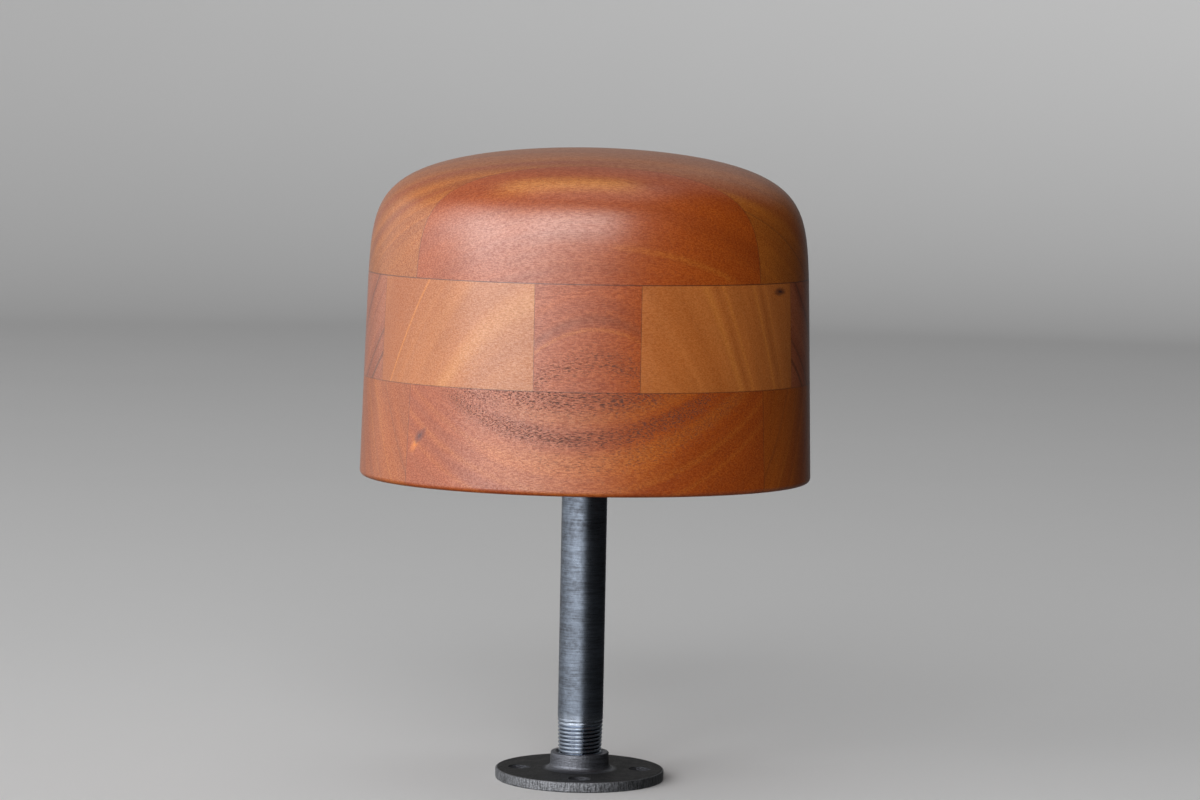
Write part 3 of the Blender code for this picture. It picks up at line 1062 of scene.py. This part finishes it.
def all_boards(side: float = 54.0, core: float = 36.5, butt: float = 24.0) -> tuple[Board, ...]:
    """Every board of the block. Lengths are in mm.

    Args:
        side: half the width of the crown's and the base's core boards.
        core: half the width of the band's core board.
        butt: half the length of the band's short middle boards.

    Returns:
        The boards, front to back and left to right in each layer.
    """
    ember = Knot((-77.6, -58.0, 162.6), (2.2, 9.0, 6.0), eye=(0.80, 0.24, 0.014),
                 surround=(0.64, 0.16, 0.012), strength=0.90, lean=0.45)
    ember_eye = Knot((-75.4, -58.6, 166.2), (2.9, 9.0, 4.9), eye=(0.11, 0.018, 0.010),
                     surround=(0.22, 0.036, 0.010), strength=0.95, lean=0.62)
    pin = Knot((87.3, -44.0, 234.0), (5.5, 5.5, 2.3), eye=(0.05, 0.014, 0.012),
               surround=(0.20, 0.055, 0.015), strength=0.95)
    left, far_left, right = (-130.0, 0.0), (-130.0, -40.0), (40.0, 130.0)
    return (
        Board("crown_front", Layer.CROWN, OiledWood(
            (0.0, 0.68, 0.73), RED, seed=1.3, layer=8.0, contrast=0.5,
            # Painted sheen: a golden patch on the upper front of the crown, where its grain catches
            # the light.
            streaks=((SHEEN_GOLD, Band(159.5, 8.0, 0.55, (-28.0, 8.0), 22.0)),
                     (STREAK_PALE, Band(130.6, 2.0, 0.30, (18.0, 60.0), 12.0)),
                     (RED.dark, Band(148.0, 7.0, 0.30)))), y=(None, -side)),
        Board("crown_core", Layer.CROWN, OiledWood(
            (0.0, 0.65, 0.76), ORANGE, seed=2.7, layer=6.0, contrast=0.6, sway=0.8,
            streaks=((RED.dark, Band(190.0, 4.5, 0.65, left, 30.0)),
                     (STREAK_PALE, Band(182.5, 1.8, 0.45, left)),
                     (STREAK_PALE, Band(173.4, 1.2, 0.35, far_left)),
                     (STREAK_PALE, Band(168.2, 1.0, 0.35, far_left)),
                     (RED.dark, Band(178.0, 2.2, 0.40, far_left)),
                     (STREAK_DARK, Band(170.6, 0.7, 0.45, (60.0, 130.0), 15.0)),
                     (RED.dark, Band(182.0, 6.0, 0.35, right)))), y=(-side, side)),
        Board("crown_back", Layer.CROWN, OiledWood(
            (0.0, -0.60, 0.80), RED, seed=3.1, layer=8.0, contrast=0.6), y=(side, None)),
        Board("band_front_left", Layer.BAND, OiledWood(
            (0.05, 0.95, 0.31), TAN, seed=4.9, layer=4.0, contrast=0.65, sway=0.6, pores=0.2,
            streaks=((RUSSET, Band(24.0, 22.0, 0.80)), (HONEY, Band(13.6, 0.6, 0.55)),
                     # Painted sheen: the pale diagonal band where this board's grain catches the
                     # light.
                     (SHEEN_SAND, Band(-6.8, 3.4, 0.5)), (TAN.dark, Band(-13.2, 3.2, 0.7)))),
            x=(None, -butt), y=(None, -core)),
        Board("band_front_middle", Layer.BAND, OiledWood(
            (-0.03, 0.97, 0.24), BRIGHT_RED, seed=5.6, layer=2.0, contrast=0.5, sway=0.3,
            pores=0.35,
            streaks=((DEEP_RED, Band(-27.8, 1.1, 0.5)),
                     (STREAK_PALE, Band(-29.0, 0.40, 0.35, (-30.0, 12.0)))),
            pore_bands=(Band(-32.8, 3.0, 0.55),)), x=(-butt, butt), y=(None, -core)),
        Board("band_front_right", Layer.BAND, OiledWood(
            (0.0, 0.98, 0.195), AMBER, seed=6.2, layer=4.0, contrast=0.5, sway=0.6, pores=0.22,
            streaks=((STRAW, Band(-23.9, 1.5, 0.45)), (PALE_AMBER, Band(-19.6, 0.9, 0.40)),
                     (PALE_AMBER, Band(-9.8, 1.1, 0.45)), (WARM_AMBER, Band(-5.0, 0.8, 0.30)),
                     (ORANGE.dark, Band(-21.6, 1.0, 0.28)), (ORANGE.dark, Band(-15.5, 2.2, 0.25)),
                     (ORANGE.dark, Band(-7.4, 1.0, 0.28)), (AMBER.dark, Band(-30.0, 2.5, 0.6))),
            knots=(pin,)), x=(butt, None), y=(None, -core)),
        Board("band_core", Layer.BAND, OiledWood(
            (0.0, 0.78, 0.63), PLUM, seed=7.4, layer=5.0, contrast=0.8, pores=0.35,
            streaks=((STREAK_DARK, Band(125.6, 1.1, 0.75)), (STREAK_DARK, Band(106.0, 1.2, 0.65)),
                     (STREAK_DARK, Band(99.5, 1.4, 0.80)))), y=(-core, core), socketed=True),
        Board("band_back_left", Layer.BAND, OiledWood(
            (0.05, -0.9, 0.4), TAN, seed=8.8, layer=5.0, contrast=0.6, pores=0.2),
            x=(None, -butt), y=(core, None)),
        Board("band_back_middle", Layer.BAND, OiledWood(
            (0.0, -0.7, 0.7), RED, seed=9.5, layer=6.0, contrast=0.7),
            x=(-butt, butt), y=(core, None)),
        Board("band_back_right", Layer.BAND, OiledWood(
            (0.0, -0.96, 0.25), TAN, seed=10.1, layer=5.0, contrast=0.6, pores=0.2),
            x=(butt, None), y=(core, None)),
        Board("base_front", Layer.BASE, OiledWood(
            (-0.0287, -0.7727, 0.6341), RED, seed=11.7, contrast=0.45, sway=0.7, pores=0.40,
            # Painted light: the lighter golden zone low on the front stands in for light bounced up
            # from below.
            streaks=((BOUNCE_LIGHT_GOLD, Band(163.0, 9.0, 0.50, (-35.0, 25.0))),
                     (STREAK_PALE, Band(178.0, 4.0, 0.30, (-25.0, 55.0))),
                     (STREAK_PALE, Band(166.8, 3.0, 0.25, (-15.0, 60.0))),
                     (STREAK_PALE, Band(157.0, 1.8, 0.22)), (STREAK_PALE, Band(150.5, 1.4, 0.20)),
                     (STREAK_PALE, Band(164.5, 1.6, 0.18)), (RED.dark, Band(160.8, 1.6, 0.3)),
                     (RED.dark, Band(153.8, 1.4, 0.3))),
            pore_bands=(Band(172.6, 4.8, 0.80, (-55.0, 50.0), 15.0),
                        Band(184.5, 9.5, 0.90, (-72.0, 38.0), 18.0),
                        Band(177.0, 3.0, 0.45, (-78.0, -48.0), 12.0),
                        Band(166.0, 6.0, 0.35, (-10.0, 60.0))),
            knots=(ember, ember_eye)), y=(None, -side)),
        Board("base_core", Layer.BASE, OiledWood(
            (0.0, 0.931, -0.364), RUST, seed=12.4, layer=5.0, contrast=0.6,
            streaks=((STREAK_PALE, Band(-95.6, 0.8, 0.45)), (STREAK_DARK, Band(-104.0, 0.9, 0.25)),
                     (STREAK_PALE, Band(-88.0, 1.0, 0.3)))), y=(-side, side), socketed=True),
        Board("base_back", Layer.BASE, OiledWood(
            (0.06, 0.74, 0.66), RED, seed=13.2, contrast=0.6,
            pore_bands=(Band(178.0, 4.0, 0.6),)), y=(side, None)),
    )


@dataclass
class HatBlock:
    """The block: three layers of boards, glued up and then turned to one oval form.

    The joints and their lines are in mm, as the finishes read them, and the rest in metres.
    """

    form: Form = field(default_factory=Form)
    boards: tuple[Board, ...] = field(default_factory=all_boards)
    band_foot: float = 189.5
    crown_foot: float = 237.8
    joint_gap: float = 0.03
    layer_line: float = 0.42
    board_line: float = 0.28
    line_strength: float = 0.5
    crown_line_strength: float = 0.8
    socket_radius: float = 11.1 * MM
    socket_end: float = 210.3 * MM
    mouth_chamfer: float = 1.0 * MM
    socket_steps: int = 96
    margin: float = 5.0 * MM

    def layer_reach(self, layer: Layer) -> Reach:
        """Heights in mm between which a layer's boards lie; none where the form ends them.

        Args:
            layer: the layer.

        Returns:
            The lower and the upper height.
        """
        reaches = {Layer.BASE: (None, self.band_foot), Layer.CROWN: (self.crown_foot, None),
                   Layer.BAND: (self.band_foot, self.crown_foot)}
        return reaches[layer]

    def socket_cutter(self) -> bpy.types.Object:
        """The blind hole that drops over the pipe, as a tool.

        Returns:
            The tool.
        """
        mouth = self.socket_radius + self.mouth_chamfer
        foot = self.form.foot
        profile = [(0.0, self.socket_end), (self.socket_radius, self.socket_end),
                   (self.socket_radius, foot + self.mouth_chamfer), (mouth, foot),
                   (mouth, foot - self.margin), (0.0, foot - self.margin)]
        return turned("socket_tool", profile, self.socket_steps, closed=False)

    def sawn(self, board: Board, form: bpy.types.Object) -> bpy.types.Object:
        """Cut one board out of the form between its joints.

        Args:
            board: the board.
            form: the whole form's skin.

        Returns:
            The board as a closed mesh, its turned skin marked by a face attribute.
        """
        shape = bmesh.new()
        shape.from_mesh(form.data)
        skin = shape.faces.layers.int.new("skin")
        for face in shape.faces:
            face[skin] = 1
        open_edges = [edge for edge in shape.edges if edge.is_boundary]
        bmesh.ops.holes_fill(shape, edges=open_edges, sides=0)
        reaches = (board.x, board.y, self.layer_reach(board.layer))
        for axis, reach in zip(Axis, reaches):
            for side, limit in zip((-1.0, 1.0), reach):
                if limit is not None:
                    self.saw(shape, axis, side, (limit - side * self.joint_gap) * MM)
        bmesh.ops.recalc_face_normals(shape, faces=shape.faces)
        return object_from(shape, board.node + "_board")

    def saw(self, shape: bmesh.types.BMesh, axis: Axis, side: float, at: float) -> None:
        """Cut a shape off square to an axis and close the cut.

        Args:
            shape: what is cut.
            axis: the axis that the cut is square to.
            side: which side is cut away, -1 for the lower one and 1 for the upper one.
            at: where the cut is.
        """
        normal = [0.0, 0.0, 0.0]
        place = [0.0, 0.0, 0.0]
        normal[axis.value] = side
        place[axis.value] = at
        geometry = shape.verts[:] + shape.edges[:] + shape.faces[:]
        bmesh.ops.bisect_plane(shape, geom=geometry, dist=FINE_MERGE, plane_co=place,
                               plane_no=normal, clear_outer=True)
        rim = [edge for edge in shape.edges if edge.is_boundary]
        bmesh.ops.holes_fill(shape, edges=rim, sides=0)

    def smooth_skin(self, obj: bpy.types.Object) -> None:
        """Shade the turned skin by the form's own rule, so that the joints don't show in it.

        Args:
            obj: the board, its turned skin marked by a face attribute.
        """
        mesh = obj.data
        shade(obj)
        skin = [mark.value for mark in mesh.attributes["skin"].data]
        normals = [Vector((0.0, 0.0, 0.0))] * len(mesh.loops)
        for face in mesh.polygons:
            if skin[face.index]:
                for loop in face.loop_indices:
                    corner = mesh.vertices[mesh.loops[loop].vertex_index].co
                    normals[loop] = self.form.normal(corner)
        mesh.normals_split_custom_set(normals)
        mesh.attributes.remove(mesh.attributes["skin"])

    def glue_lines(self, board: Board) -> list[GlueLine]:
        """The joints that show as lines at the edges of a board.

        Args:
            board: the board.

        Returns:
            The lines, across x, then y, then z.
        """
        lines = []
        reaches = (board.x, board.y, self.layer_reach(board.layer))
        for axis, reach in zip(Axis, reaches):
            width = self.layer_line if axis is Axis.Z else self.board_line
            for at in reach:
                if at is not None:
                    top = axis is Axis.Z and at == self.crown_foot
                    strength = self.crown_line_strength if top else self.line_strength
                    lines.append(GlueLine(axis, at, width, strength))
        return lines

    def build(self) -> None:
        """Make and dress every board."""
        form = self.form.shape()
        socket = self.socket_cutter()
        for board in self.boards:
            piece = self.sawn(board, form)
            if board.socketed:
                piece = bored(piece, socket)
            self.smooth_skin(piece)
            dress(piece, board.wood.material(board.node + "_finish", self.glue_lines(board)))
            hand_over(piece, Body.BLOCK, board.node, board.wood.tone.slot)
        drop(form, socket)


@dataclass
class Stand:
    """The stand: a half inch pipe with a thread on each end, in a cast floor flange.

    The thread's flank rises between the root flat and the crest flat, which are shares of half
    a pitch.
    """

    flange_radius: float = 39.7 * MM
    flange_thickness: float = 4.8 * MM
    edge_round: float = 0.6 * MM
    hub_height: float = 8.0 * MM
    hub_top_radius: float = 13.7 * MM
    hub_foot_radius: float = 13.9 * MM
    hub_fillet: float = 3.0 * MM
    hub_edge_round: float = 0.7 * MM
    mouth_chamfer: float = 1.1 * MM
    hole_count: int = 4
    hole_circle: float = 28.4 * MM
    hole_radius: float = 3.2 * MM
    sink_radius: float = 5.3 * MM
    pipe_radius: float = 10.668 * MM
    pipe_wall: float = 2.77 * MM
    pipe_length: float = 203.2 * MM
    pipe_foot: float = 3.5 * MM
    end_chamfer: float = 0.7 * MM
    thread_length: float = 26.5 * MM
    thread_pitch: float = 1.814 * MM
    thread_depth: float = 0.95 * MM
    thread_taper: float = 1.0 / 32.0
    run_out_turns: float = 4.0
    seat_gap: float = 0.3 * MM
    flange_steps: int = 192
    pipe_steps: int = 96
    rows_per_turn: int = 16
    hole_steps: int = 48
    edge_steps: int = 5
    hub_edge_steps: int = 6
    fillet_steps: int = 10
    root_flat: float = 0.06
    crest_flat: float = 0.62

    def flange_profile(self) -> list[Point]:
        """Outline of the flange from the hub's mouth over the rim and back up the bore.

        Returns:
            The points, as distances from the axis and heights.
        """
        top = self.flange_thickness + self.hub_height
        engaged = top - self.pipe_foot
        bore = (self.pipe_radius - self.thread_taper * (self.thread_length - engaged)
                + self.seat_gap)
        corner = self.hub_top_radius - self.hub_edge_round
        fillet = (self.hub_foot_radius + self.hub_fillet, self.flange_thickness + self.hub_fillet)
        rim = self.flange_radius - self.edge_round
        rounded = self.edge_round
        return [
            (bore + self.mouth_chamfer, top),
            *arc((corner, top - self.hub_edge_round), self.hub_edge_round, Quarter.TOP_EDGE,
                 self.hub_edge_steps),
            *arc(fillet, self.hub_fillet, Quarter.FILLET, self.fillet_steps),
            *arc((rim, self.flange_thickness - rounded), rounded, Quarter.TOP_EDGE,
                 self.edge_steps),
            *arc((rim, rounded), rounded, Quarter.LOW_EDGE, self.edge_steps),
            (bore, 0.0), (bore, top - self.mouth_chamfer)]

    def screw_hole_tools(self) -> bpy.types.Object:
        """The countersunk screw holes as one tool, set round the flange by Geometry Nodes.

        Returns:
            The cutter for all the holes.
        """
        bench = ShapeBench("screw_holes", {
            "Holes": self.hole_count, "Circle radius": self.hole_circle,
            "Hole radius": self.hole_radius, "Sink radius": self.sink_radius,
            "Plate thickness": self.flange_thickness, "Steps": self.hole_steps,
            "Margin": self.hub_fillet})
        size = bench.size
        circle = bench.term("GeometryNodeMeshCircle", {
            "Vertices": size("Holes"), "Radius": size("Circle radius")})
        shank = bench.term("GeometryNodeMeshCylinder", {
            "Vertices": size("Steps"), "Radius": size("Hole radius"),
            "Depth": size("Plate thickness") * 2.0 + size("Margin") * 2.0})
        sink_depth = size("Sink radius") - size("Hole radius") + size("Margin")
        cone = bench.term("GeometryNodeMeshCone", {
            "Vertices": size("Steps"), "Radius Bottom": size("Hole radius"),
            "Radius Top": size("Sink radius") + size("Margin"), "Depth": sink_depth})
        sunk = bench.vector(0.0, 0.0,
                            size("Plate thickness") - size("Sink radius") + size("Hole radius"))
        cone = bench.term("GeometryNodeTransform", {"Geometry": cone, "Translation": sunk})
        both = bench.node("GeometryNodeMeshBoolean", operation="UNION")
        for part in (shank, cone):
            bench.feed(both.inputs["Mesh 2"], part)
        tool = Term(bench, both.outputs[0])
        bench.end(bench.term("GeometryNodeInstanceOnPoints", {"Points": circle, "Instance": tool}))
        return bench.make("screw_hole_tool")

    def build_flange(self) -> None:
        """Make and dress the flange."""
        flange = turned("flange_casting", self.flange_profile(), self.flange_steps)
        holes = self.screw_hole_tools()
        flange = bored(flange, holes)
        drop(holes)
        shade(flange)
        dress(flange, CastIron().material("cast_iron"))
        hand_over(flange, Body.STAND, "floor_flange", "flange_iron")

    def thread_sleeve(self) -> bpy.types.Object:
        """Skin of one threaded end, wound from the pipe's end up to where it runs out.

        The sheet's rows follow the helix, so the crest of the thread is one smooth line.

        Returns:
            The sleeve, its end at height 0 and the plain pipe above it.
        """
        rows = math.ceil(self.thread_length / self.thread_pitch + 1.0) * self.rows_per_turn
        bench = ShapeBench("pipe_thread", {
            "Pipe radius": self.pipe_radius, "Thread length": self.thread_length,
            "Pitch": self.thread_pitch, "Depth": self.thread_depth, "Taper": self.thread_taper,
            "Run-out turns": self.run_out_turns, "Chamfer": self.end_chamfer,
            "Root flat": self.root_flat, "Crest flat": self.crest_flat,
            "Rows": rows + 1, "Rows per turn": self.rows_per_turn,
            "Points round": self.pipe_steps + 1})
        size = bench.size
        sheet, round_share, up = bench.grid(size("Points round"), size("Rows"))
        wound = up * (size("Rows") - 1.0) / size("Rows per turn") + round_share - 1.0
        height = bench.math("MAXIMUM", wound * size("Pitch"), 0.0)
        height = bench.math("MINIMUM", height, size("Thread length"))
        left = size("Thread length") - height
        # Two turns more keep the fraction's value above nought and change nothing else.
        turns = height / size("Pitch") - round_share + 2.0
        tooth = abs(bench.math("FRACT", turns) - MIDDLE) * 2.0
        tooth = bench.rise(tooth, size("Root flat"), size("Crest flat"))
        fade_out = bench.rise(left / (size("Run-out turns") * size("Pitch")), 0.0, 1.0)
        crest = size("Pipe radius") - size("Taper") * left
        chamfer = bench.math("MAXIMUM", size("Chamfer") - height, 0.0)
        radius = crest - size("Depth") * fade_out * (1.0 - tooth) - chamfer
        around = round_share * math.tau
        place = bench.vector(radius * bench.math("COSINE", around),
                             radius * bench.math("SINE", around), height)
        bench.end_placed(sheet, place)
        return bench.make("thread_sleeve")

    def build_pipe(self) -> None:
        """Join the two threaded ends, the plain middle and the bore, and dress the pipe."""
        sleeve = self.thread_sleeve()
        shape = bmesh.new()
        shape.from_mesh(sleeve.data)
        bmesh.ops.translate(shape, verts=shape.verts, vec=(0.0, 0.0, self.pipe_foot))
        middle = 2.0 * self.pipe_foot + self.pipe_length
        copied = bmesh.ops.duplicate(shape, geom=shape.verts[:] + shape.edges[:] + shape.faces[:])
        top_verts = [item for item in copied["geom"] if isinstance(item, bmesh.types.BMVert)]
        turn = Matrix.Translation((0.0, 0.0, middle)) @ Matrix.Rotation(math.pi, 4, Axis.X.name)
        bmesh.ops.transform(shape, matrix=turn, verts=top_verts)
        drop(sleeve)
        self.close_pipe(shape)
        pipe = object_from(shape, "threaded_pipe")
        shade(pipe)
        dress(pipe, DarkSteel().material("dark_steel"))
        hand_over(pipe, Body.STAND, "pipe_nipple", "pipe_steel")

    def close_pipe(self, shape: bmesh.types.BMesh) -> None:
        """Close the plain middle, the two end faces and the bore.

        Args:
            shape: the two threaded sleeves.
        """
        bmesh.ops.remove_doubles(shape, verts=shape.verts, dist=MERGE)
        foot, top = self.pipe_foot, self.pipe_foot + self.pipe_length
        inner = (foot + self.thread_length, top - self.thread_length)
        rims = {at: [] for at in (foot, *inner, top)}
        for edge in shape.edges:
            if edge.is_boundary:
                height = sum(vert.co.z for vert in edge.verts) / 2.0
                rims[min(rims, key=lambda at: abs(at - height))].append(edge)
        bmesh.ops.bridge_loops(shape, edges=rims[inner[0]] + rims[inner[1]])
        bore = self.pipe_radius - self.pipe_wall
        ends = []
        for at in (foot, top):
            inward = bmesh.ops.extrude_edge_only(shape, edges=rims[at])["geom"]
            for item in inward:
                if isinstance(item, bmesh.types.BMVert):
                    item.co.xy = item.co.xy * (bore / item.co.xy.length)
                elif isinstance(item, bmesh.types.BMEdge) and item.is_boundary:
                    ends.append(item)
        bmesh.ops.bridge_loops(shape, edges=ends)
        bmesh.ops.recalc_face_normals(shape, faces=shape.faces)

    def build(self) -> None:
        """Make and dress the flange and the pipe."""
        self.build_flange()
        self.build_pipe()


@dataclass
class BearingDisc:
    """The steel disc in the end of the socket, on which the block turns on the pipe's end."""

    radius: float = 10.6 * MM
    thickness: float = 3.0 * MM
    foot: float = 207.0 * MM
    edge_round: float = 0.4 * MM
    dimple_radius: float = 1.2 * MM
    dimple_depth: float = 0.5 * MM
    steps: int = 96
    edge_steps: int = 5
    finish: DarkSteel = DarkSteel((0.55, 0.55, 0.57), (0.34, 0.34, 0.36), cut_ends=(),
                                  roughness=0.28)

    def build(self) -> None:
        """Make and dress the disc, turned with a centre dimple in its underside."""
        top = self.foot + self.thickness
        corner = self.radius - self.edge_round
        rounded = self.edge_round
        profile = [
            (0.0, top),
            *arc((corner, top - rounded), rounded, Quarter.TOP_EDGE, self.edge_steps),
            *arc((corner, self.foot + rounded), rounded, Quarter.LOW_EDGE, self.edge_steps),
            (self.dimple_radius, self.foot), (0.0, self.foot + self.dimple_depth)]
        disc = turned("bearing_disc", profile, self.steps, closed=False)
        shade(disc)
        dress(disc, self.finish.material("bright_steel"))
        hand_over(disc, Body.DISC, "thrust_disc", "disc_steel")


@dataclass(frozen=True)
class SoftBox:
    """A soft studio light: where it stands, seen from the block, its size and its power."""

    name: str
    bearing: float
    elevation: float
    width: float
    height: float
    watts: float
    distance: float = 4.0

    def place(self, target: Vector) -> None:
        """Hang the light and point it at the target.

        Args:
            target: what the light faces.
        """
        bearing, elevation = math.radians(self.bearing), math.radians(self.elevation)
        away = Vector((math.sin(bearing) * math.cos(elevation),
                       -math.cos(bearing) * math.cos(elevation), math.sin(elevation)))
        light = bpy.data.lights.new(self.name, "AREA")
        light.shape = "RECTANGLE"
        light.size, light.size_y = self.width, self.height
        light.energy = self.watts
        lamp = bpy.data.objects.new(self.name, light)
        lamp.location = target + away * self.distance
        lamp.rotation_euler = away.to_track_quat("Z", "Y").to_euler()
        bpy.context.scene.collection.objects.link(lamp)


@dataclass(frozen=True)
class Glow:
    """A soft bright patch of the room, seen from the block.

    It rises between the first two bearings, in degrees, and falls between the last two, and so
    it does over its heights, from -1 straight down to 1 straight up.
    """

    level: float
    bearings: Rise
    heights: Rise = (-0.75, -0.40, 0.25, 0.60)

    def light(self, bench: NodeBench, bearing: Term, height: Term) -> Term:
        """The patch's light in a direction.

        Args:
            bench: the bench of the room's tree.
            bearing: the direction's bearing.
            height: its height.

        Returns:
            The light.
        """
        light: Value = self.level
        for term, (low, full, fade, high) in ((bearing, self.bearings), (height, self.heights)):
            light = bench.rise(term, low, full) * bench.rise(term, high, fade) * light
        return light


@dataclass
class Studio:
    """A plain pale floor that sweeps up all round, soft lights and the camera.

    The floor is for the eye and for shadows. What the block and the pipe reflect is the
    room: bright behind and to the left, dim to the right and in front.
    """

    floor_radius: float = 3.0
    sweep_radius: float = 0.9
    wall_height: float = 1.4
    steps: int = 96
    sweep_steps: int = 24
    grey: Colour = (0.78, 0.78, 0.78)
    cloud: Noise = Noise((300.0, 300.0, 300.0))
    cloud_swing: float = 0.03
    tooth: Noise = Noise((1.5, 1.5, 1.5))
    tooth_depth: float = 0.04 * MM
    paper_roughness: float = 0.8
    bright_side: Triple = (-0.87, 0.48, 0.08)
    bright_ends: Point = (-0.25, 0.75)
    room_dim: float = 0.012
    room_bright: float = 0.31
    room_below: float = 0.068
    below_ends: Point = (0.05, 0.55)
    glows: tuple[Glow, ...] = (
        Glow(0.10, (-160.0, -125.0, -112.0, -75.0)),
        Glow(0.70, (-110.0, -75.0, -70.0, -38.0)),
        Glow(0.66, (-70.0, -38.0, -23.0, 5.0)),
        Glow(0.74, (-30.0, -14.0, -8.0, 19.0)),
    )
    target: Triple = (0.0, 0.0, 0.20)
    boxes: tuple[SoftBox, ...] = (
        SoftBox("window", -38.0, 14.0, 2.6, 2.6, 49.6),
        SoftBox("window_side", -58.0, 25.0, 2.6, 2.6, 38.0),
        SoftBox("front", -7.0, 30.0, 2.6, 2.0, 57.6),
        SoftBox("ceiling", 0.0, 85.0, 2.9, 2.9, 18.5),
        SoftBox("left_wall", -105.0, 12.0, 3.6, 2.8, 16.0),
        SoftBox("back_fill", 150.0, 45.0, 2.7, 2.7, 3.0),
    )
    lens: float = 121.416
    eye: Triple = (0.0, -1.88698, 0.34469)
    yaw: float = 0.192
    pitch: float = 5.017
    roll: float = 1.119

    def build_floor(self) -> None:
        """Lay the floor and its sweep, marked as stage."""
        centre = (self.floor_radius, self.sweep_radius)
        profile = [(0.0, 0.0), *arc(centre, self.sweep_radius, Quarter.SWEEP, self.sweep_steps),
                   (self.floor_radius + self.sweep_radius, self.wall_height)]
        floor = turned("studio_floor", profile, self.steps, closed=False)
        floor.data.flip_normals()
        floor.data.shade_smooth()
        floor.visible_glossy = False
        floor.visible_diffuse = False
        floor.visible_shadow = False
        bench = FinishBench("floor_paper")
        place = bench.place_in_mm()
        cloud, tooth = [noise.over(bench, place) for noise in (self.cloud, self.tooth)]
        colour = bench.scaled(self.grey, 1.0 + bench.swing(cloud, self.cloud_swing))
        values = {"Base Color": colour, "Roughness": self.paper_roughness}
        dress(floor, bench.surface(values, tooth, self.tooth_depth))

    def build_room(self) -> None:
        """Fill the room with soft light that is brighter behind and to the left."""
        world = bpy.data.worlds.new("studio")
        world.use_nodes = True
        bench = NodeBench(world.node_tree)
        x, y, z = bench.axes(bench.term("ShaderNodeTexCoord", out="Generated"))
        a, b, c = self.bright_side
        share = bench.rise(x * a + y * b + z * c, *self.bright_ends)
        level = share * (self.room_bright - self.room_dim) + self.room_dim
        below = bench.rise(z * -1.0, *self.below_ends)
        level = level * (1.0 - below) + below * self.room_below
        bearing = bench.math("ARCTAN2", x, y * -1.0) * math.degrees(1.0)
        for glow in self.glows:
            level = level + glow.light(bench, bearing, z)
        sky = bench.term("ShaderNodeBackground", {"Color": (1.0, 1.0, 1.0), "Strength": level})
        bench.node("ShaderNodeOutputWorld", {"Surface": sky})
        bpy.context.scene.world = world

    def build_camera(self) -> None:
        """Stand the camera where the photograph was taken from."""
        lens = bpy.data.cameras.new("photo_camera")
        lens.lens = self.lens
        camera = bpy.data.objects.new("photo_camera", lens)
        bpy.context.scene.collection.objects.link(camera)
        level = Matrix.Rotation(math.radians(90.0 - self.pitch), 4, Axis.X.name)
        aim = Matrix.Rotation(math.radians(-self.yaw), 4, Axis.Z.name)
        tilt = Matrix.Rotation(math.radians(self.roll), 4, Axis.Z.name)
        camera.matrix_world = Matrix.Translation(self.eye) @ aim @ level @ tilt
        bpy.context.scene.camera = camera

    def build(self) -> None:
        """Set up the floor, the lights, the camera and plain colour management."""
        self.build_floor()
        for box in self.boxes:
            box.place(Vector(self.target))
        self.build_room()
        self.build_camera()
        bpy.context.scene.view_settings.view_transform = "Standard"


def main() -> None:
    """Build the studio, the stand, the disc and the block, and log each one as it is built."""
    steps: tuple[tuple[str, Callable[[], None]], ...] = (
        ("studio", Studio().build), ("stand", Stand().build), ("disc", BearingDisc().build),
        ("block", HatBlock().build))
    for name, build in steps:
        build()
        log.info("%s built", name)


if __name__ == "__main__":
    main()
